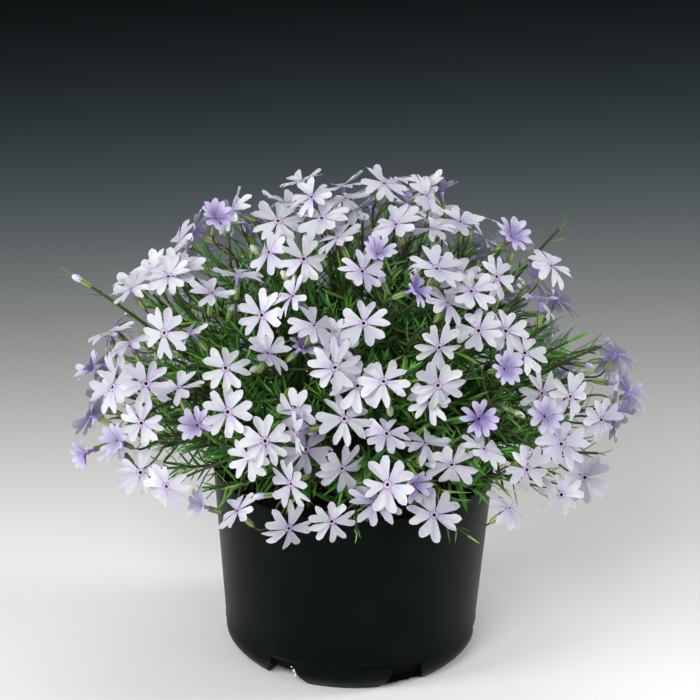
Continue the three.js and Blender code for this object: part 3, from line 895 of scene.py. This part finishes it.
calyx_finish = Finish("green_calyx")
turn, rise = calyx_finish.uv("calyx_map")
rib = (turn * (2 * math.pi * calyx_ribs / 2)).cosine().smooth(-0.3, 0.9)
calyx_colour = calyx_finish.mix(rib, (0.33, 0.42, 0.15), (0.09, 0.19, 0.03))
calyx_colour = calyx_finish.mix(rise.smooth(0.75, 1.1) * 0.5, calyx_colour, (0.2, 0.09, 0.09))
calyx_material = calyx_finish.surface(calyx_colour, 0.5, (rib, 0.5, 0.0003), thin=0.15)

piece("flower_stalks", stem_mesh("flower stalks", stalks), "petals", *sprays)
tufts = (stalk_leaf_spacing, leaves_per_stalk_joint, stalk_leaf_lean)
piece("stalk_leaves", leaf_mesh("stalk leaves", stalks, *tufts, 8), "leaves")
piece("calyces", facing_copies("calyces", blooms, calyx_mesh, calyx_material), "leaves")

# ---- Flower tubes and eyes ----
# A slim lilac tube that stands in the calyx and opens between the petals; its mouth is the dark
# maroon eye, from which the tips of three yellow anthers show.

tube_outline = [(0, -0.0085), (0.0006, -0.0085), (0.00075, -0.006), (0.0008, -0.0025)]
tube_outline += [(0.00105, -0.0012), (0.0014, -0.0004), (0.00112, -0.0001), (0.00086, -0.0001)]
tube_outline += [(0.0006, -0.0009), (0.00045, -0.0022), (0, -0.0026)]
points, faces = turned(tube_outline, 10)
stations = [0, *np.repeat(np.arange(1, 10), 10), 10]
places = [(0.5, (station + 0.5) / len(tube_outline)) for station in stations]
tube_mesh = mapped(smooth_mesh("tube", points, faces, 70), "tube_map", places)
tube_finish = Finish("flower_tube")
station = tube_finish.uv("tube_map")[1] * len(tube_outline)
tube_colour = tube_finish.mix(station.smooth(2, 5), (0.26, 0.15, 0.45), (0.42, 0.33, 0.68))
tube_colour = tube_finish.mix(station.smooth(5, 6.4), tube_colour, (0.7, 0.6, 0.8))
tube_colour = tube_finish.mix(station.smooth(7.2, 8.0), tube_colour, (0.03, 0.004, 0.022))
tube_relief = (tube_finish.noise(2500), 0.2, 0.0002)
tube_material = tube_finish.surface(tube_colour, 0.5, tube_relief, thin=0.15)
piece("flower_tubes", facing_copies("flower tubes", blooms, tube_mesh, tube_material), "petals")

anther_finish = Finish("yellow_anther")
pollen = anther_finish.noise(4000)
anther_colour = anther_finish.mix(pollen, (0.35, 0.1, 0.02), (0.6, 0.25, 0.05))
anther_material = anther_finish.surface(anther_colour, 0.7)
anther_radius = 0.00018
anther_offset = 0.00032
anther_shapes = bmesh.new()
for i, height in enumerate((-0.0007, -0.0012, -0.0016)):
    turn = 0.5 + 2.1 * i
    spot = (anther_offset * math.cos(turn), anther_offset * math.sin(turn), height)
    shape = Matrix.Translation(spot) @ Matrix.Diagonal((1, 1, 2.2, 1))
    bmesh.ops.create_icosphere(anther_shapes, subdivisions=1, radius=anther_radius, matrix=shape)
anther_mesh = mesh_of("anthers", anther_shapes)
piece("anthers", facing_copies("anthers", blooms, anther_mesh, anther_material), "petals")

# ---- Petals ----
# Five wedge-shaped petals to a bloom, each with two rounded lobes and a deep notch. They are
# pale lavender-white, bluer behind, with two purple dashes by the eye; young blooms are lilac.

petal_root = 0.085
petal_thickness = 0.018
lobe_hollow = 0.05
petal_ripple = 0.018
dash_turn = 0.22
dash_reach = 0.16
lobe_line = [(0.42, 0.965), (0.64, 1.0), (0.84, 0.94), (1, 0.79)]


def petal(half_turn, curl, fold, twist, notch, seed):
    """A petal one unit long along +X, facing +Z: a thin closed sheet with a front and a back."""
    random = np.random.default_rng(seed)
    half = [(0, notch), (0.2, notch + 0.13)] + lobe_line
    columns = [(-part, reach) for part, reach in reversed(half[1:])] + half
    columns = [(part, reach * random.uniform(0.97, 1.02)) for part, reach in columns]
    rows = [0, 0.36, 0.72, 1]
    points = []
    places = []
    front = []
    for layer in (1, 0):
        for part, tip_reach in columns:
            for row in rows:
                reach = petal_root + (tip_reach - petal_root) * row
                turn = part * math.radians(half_turn) * (1.22 - 0.22 * min(1, reach / 0.5))
                x = reach * math.cos(turn)
                y = reach * math.sin(turn)
                z = curl * reach**2 + fold * abs(y) + twist * y * reach
                z += lobe_hollow * math.cos(2 * math.pi * part) * reach**2
                z += petal_ripple * math.sin(9 * turn + 5 * reach) * reach
                z -= 0 if layer else petal_thickness * (1.1 - reach)
                points.append((x, y, z))
                places.append((0.5 + turn / math.radians(72), reach))
                front.append(float(layer))
    deep, wide = len(rows), len(columns)
    faces = []
    for i in range(wide - 1):
        for j in range(deep - 1):
            corners = [deep * i + j, deep * i + j + 1, deep * (i + 1) + j + 1, deep * (i + 1) + j]
            faces.append(corners)
            faces.append([deep * wide + corner for corner in reversed(corners)])
    rim = [deep * i for i in range(wide)] + [deep * (wide - 1) + j for j in range(1, deep)]
    rim += [deep * i + deep - 1 for i in range(wide - 2, -1, -1)] + list(range(deep - 2, 0, -1))
    for a, b in zip(rim, rim[1:] + rim[:1]):
        faces.append([a, b, deep * wide + b, deep * wide + a])
    mesh = mapped(smooth_mesh("petal", points, faces, 50), "petal_map", places)
    mesh.attributes.new("front", "FLOAT", "POINT").data.foreach_set("value", front)
    return mesh


petal_finish = Finish("phlox_petal")
turn, reach = petal_finish.uv("petal_map")
turn = turn - 0.5
front = petal_finish.attribute("front")
lilac = petal_finish.attribute("lilac")
tone = petal_finish.attribute("tone")
inputs = {0: turn * 26.0, 1: reach * 1.6, 2: tone * 9.0}
veins = petal_finish.noise(1.0, 3, petal_finish.node("ShaderNodeCombineXYZ", {}, inputs))
inputs = {0: turn * 3.0, 1: reach * 2.2, 2: tone * 23.0}
washes = petal_finish.noise(1.0, 1, petal_finish.node("ShaderNodeCombineXYZ", {}, inputs))
pale = petal_finish.mix(tone, (0.56, 0.57, 0.61), (0.8, 0.81, 0.8))
deep_lilac = petal_finish.mix(reach.smooth(0.2, 0.85), (0.13, 0.05, 0.34), (0.61, 0.54, 0.78))
petal_colour = petal_finish.mix(lilac, pale, deep_lilac)
wash = washes.smooth(0.5, 0.75) * reach.smooth(0.98, 0.75) * (0.25 + 0.35 * (tone > 0.7))
petal_colour = petal_finish.mix(wash, petal_colour, (0.56, 0.47, 0.76))
petal_colour = petal_finish.mix(veins.smooth(0.45, 0.75) * 0.18, petal_colour, (0.55, 0.5, 0.78))
flush = reach.smooth(0.62, 0.15) * (0.12 + 0.3 * (tone > 0.55))
petal_colour = petal_finish.mix(flush, petal_colour, (0.47, 0.38, 0.74))
halo = reach.smooth(0.22, 0.11) * (0.5 - 0.5 * lilac)
petal_colour = petal_finish.mix(halo, petal_colour, (0.72, 0.5, 0.68))
behind = petal_finish.mix(reach.smooth(0.95, 0.15) * 0.8, petal_colour, (0.36, 0.29, 0.66))
behind = petal_finish.mix(0.3, behind, (0.48, 0.47, 0.72))
petal_colour = petal_finish.mix(front, behind, petal_colour)
dash = abs(abs(turn) - dash_turn).smooth(0.1, 0.03)
dash = dash * abs(reach - dash_reach).smooth(0.05, 0.02)
petal_colour = petal_finish.mix(dash * front, petal_colour, (0.11, 0.015, 0.14))
petal_material = petal_finish.surface(petal_colour, 0.55, (veins, 0.25, 0.0004), thin=0.28)

growth = Growth("petals", {"Petals": 5, "Unevenness": 0.085, "Seed": 17}, petal_material)
points = growth.node("GeometryNodeMeshToPoints", {}, {"Mesh": growth.start})
inputs = {"Geometry": points, "Amount": growth.size["Petals"]}
copies = growth.node("GeometryNodeDuplicateElements", {"domain": "POINT"}, inputs)
uneven = growth.size["Unevenness"]
around = copies.output("Duplicate Index") * (2 * math.pi / growth.size["Petals"])
around = around + uneven * growth.random(-0.7, 0.7, 1)
lift = growth.stored("lift") + uneven * growth.random(-1.8, 1.8, 2)
rotation = growth.turned_by(stance_of(growth), (0, 0, 1), around)
rotation = growth.turned_by(rotation, (0, -1, 0), lift)
rotation = growth.turned_by(rotation, (1, 0, 0), uneven * growth.random(-2.2, 2.2, 3))
length = growth.stored("reach") * growth.random(0.95, 1.03, 4)
kinds = [petal(28, 0.02, 0.08, 0.0, 0.72, 1), petal(27, -0.14, -0.05, 0.06, 0.67, 2)]
kinds += [petal(29, 0.1, 0.18, -0.08, 0.76, 3), petal(26, -0.08, 0.14, 0.18, 0.7, 4)]
kinds += [petal(30, -0.22, 0.03, -0.14, 0.74, 5), petal(25, -0.34, 0.12, 0.08, 0.63, 6)]
petals = growth.copies(copies, kinds, rotation, length, 5)
petal_sites = sites(blooms, ("facing", "across", "reach", "lift", "lilac"))
piece("petals", growth.grow(petals, petal_sites), "petals")

# ---- Buds ----
# Furled buds: five petals rolled into a slim spindle that stands in its calyx. Most are lilac and
# some are still green. One of them ends the long shoot at the left.

bud_outline = [(0, -0.0095), (0.0006, -0.0092), (0.0008, -0.0062), (0.0013, -0.0044)]
bud_outline += [(0.0015, -0.003), (0.0012, -0.0014), (0.0005, -0.0003), (0, 0)]
bud_spiral = 260
bud_pleats = 0.16
bud_calyx_rise = 0.0008
points, faces = turned(bud_outline, 10)
for i, (x, y, z) in enumerate(points):
    swell = 1 + bud_pleats * (i % 2)
    points[i] = Matrix.Rotation(z * bud_spiral, 3, "Z") @ Vector((x * swell, y * swell, z))
bud_mesh = smooth_mesh("bud", points, faces, 70)
bud_finish = Finish("furled_bud")
bud_grain = bud_finish.noise(700, 3)
bud_tone = bud_finish.attribute("tone")
bud_colour = bud_finish.mix(bud_grain, (0.55, 0.48, 0.8), (0.8, 0.77, 0.9))
bud_colour = bud_finish.mix((bud_tone > 0.6) * 0.75, bud_colour, (0.62, 0.7, 0.42))
bud_material = bud_finish.surface(bud_colour, 0.5, (bud_grain, 0.3, 0.0003), thin=0.15)
for bud in buds:
    bud["eye"] = bud["tip"]
    bud["across"] = bud["facing"].orthogonal().normalized()
    bud["lilac"] = 1.0
piece("buds", facing_copies("buds", buds, bud_mesh, bud_material), "petals")
for bud in buds:
    bud["eye"] = bud["tip"] + bud["facing"] * bud_calyx_rise
piece("bud_calyces", facing_copies("bud calyces", buds, calyx_mesh, calyx_material), "leaves")

# ---- Floor, lights and camera ----
# A sheet of pale paper whose colour is painted with shade that deepens into blue-grey behind it,
# five soft lamps and a dim surround, and a long lens that looks down at the plant from the front.

floor_radius = 6
paper = 0.815
shade_starts = 0.11
shade_rate = 4.4
shade_turn = 0.27
floor_finish = Finish("studio_floor")
x, y, _ = floor_finish.parts(floor_finish.place)
# Painted shade: the paper darkens with depth behind the pot and away from the middle, turning
# blue-grey.
depth = y * (1 - shade_turn * x)
past = depth - shade_starts
past = (past + (past * past + 0.01) ** 0.5) / 2
aside = (x * x + y * y) ** 0.5
painted_dimming = 1 - 0.45 * aside.smooth(0.3, 1.4)
tint = floor_finish.mix(depth.smooth(0.3, 0.8), (1.0, 0.985, 0.96), (0.76, 1.0, 1.08))
shade = floor_finish.mix(paper * painted_dimming * math.e ** (past * -shade_rate), (0.0, 0.0, 0.0), tint)
disc = bmesh.new()
bmesh.ops.create_circle(disc, cap_ends=True, segments=96, radius=floor_radius)
floor_mesh = mesh_of("floor", disc)
floor_mesh.materials.append(floor_finish.surface(shade, 0.8, specular=0.0))
floor = bpy.data.objects.new("floor", floor_mesh)
bpy.context.scene.collection.objects.link(floor)


def soft_box(name, place, size, power):
    """A round lamp, as wide as its size, that faces the middle of the plant."""
    light = bpy.data.lights.new(name, "AREA")
    light.shape = "DISK"
    light.size = size
    light.energy = power
    lamp = bpy.data.objects.new(name, light)
    bpy.context.scene.collection.objects.link(lamp)
    lamp.location = place
    lamp.rotation_mode = "QUATERNION"
    lamp.rotation_quaternion = (heart - Vector(place)).to_track_quat("-Z", "Y")


soft_box("key", (-0.9, -2.6, 2.2), 1.6, 68)
soft_box("fill", (2.2, -1.9, 1.6), 1.8, 14)
soft_box("top", (0.2, 1.2, 3.0), 2.2, 22)
soft_box("left side", (-1.5, -0.75, 0.7), 0.8, 22)
soft_box("right rim", (1.3, 0.15, 0.6), 0.5, 12)
surround = bpy.data.worlds.new("surround")
surround.use_nodes = True
background = surround.node_tree.nodes["Background"]
background.inputs["Color"].default_value = (0.83, 0.86, 0.9, 1)
background.inputs["Strength"].default_value = 0.34
bpy.context.scene.world = surround
bpy.context.scene.view_settings.view_transform = "Standard"

camera_place = Vector((0, -1.4526, 0.7316))
camera_aim = Vector((-0.0025, 0.016, 0.1367))
camera_roll = math.radians(1.02)
lens = bpy.data.cameras.new("camera")
lens.lens = 180
lens.sensor_width = 36
lens.clip_end = 20
camera = bpy.data.objects.new("camera", lens)
bpy.context.scene.collection.objects.link(camera)
camera.location = camera_place
camera.rotation_mode = "QUATERNION"
level = (camera_aim - camera_place).to_track_quat("-Z", "Y")
camera.rotation_quaternion = level @ Quaternion((0, 0, 1), camera_roll)
bpy.context.scene.camera = camera
